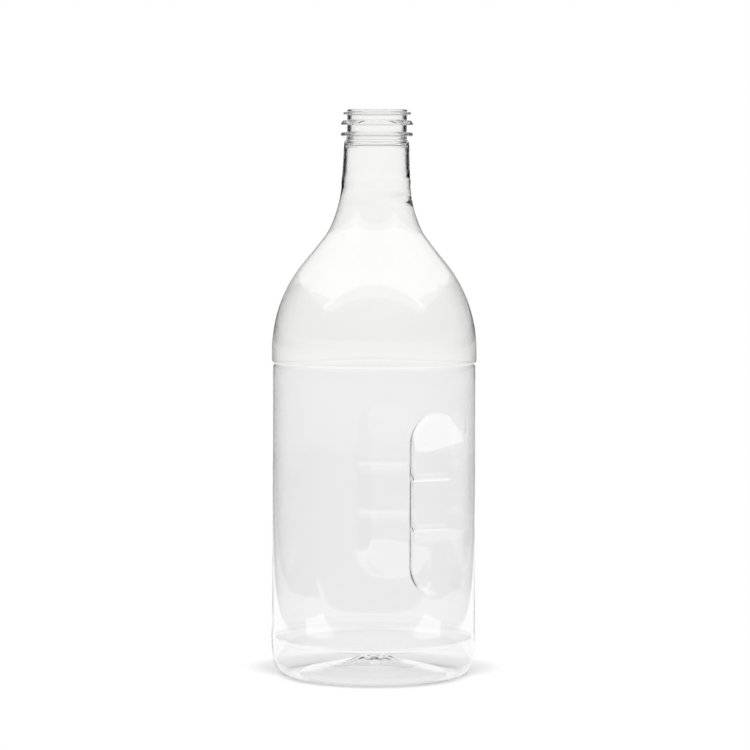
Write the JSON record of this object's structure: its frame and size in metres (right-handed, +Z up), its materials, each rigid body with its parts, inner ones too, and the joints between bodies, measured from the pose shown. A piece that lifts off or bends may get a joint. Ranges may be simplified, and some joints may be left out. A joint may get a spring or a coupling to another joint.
{
  "type": "small carboy bottle",
  "caption": "Clear blow-moulded bottle with a wide ringed mouth, round shoulder, a pinch grip in the body and a push-up base.",
  "frame": {"origin": "centre of the standing ring, on the plane the bottle rests on", "axes": "+Z up along the bottle's axis to the mouth, +X towards the web between the two grip pockets"},
  "size_m": [0.1076, 0.1074, 0.296],
  "materials": {
    "clear_plastic": "clear, colourless, high gloss"
  },
  "bodies": {
    "root": {"bottle": "clear_plastic"}
  },
  "joints": []
}
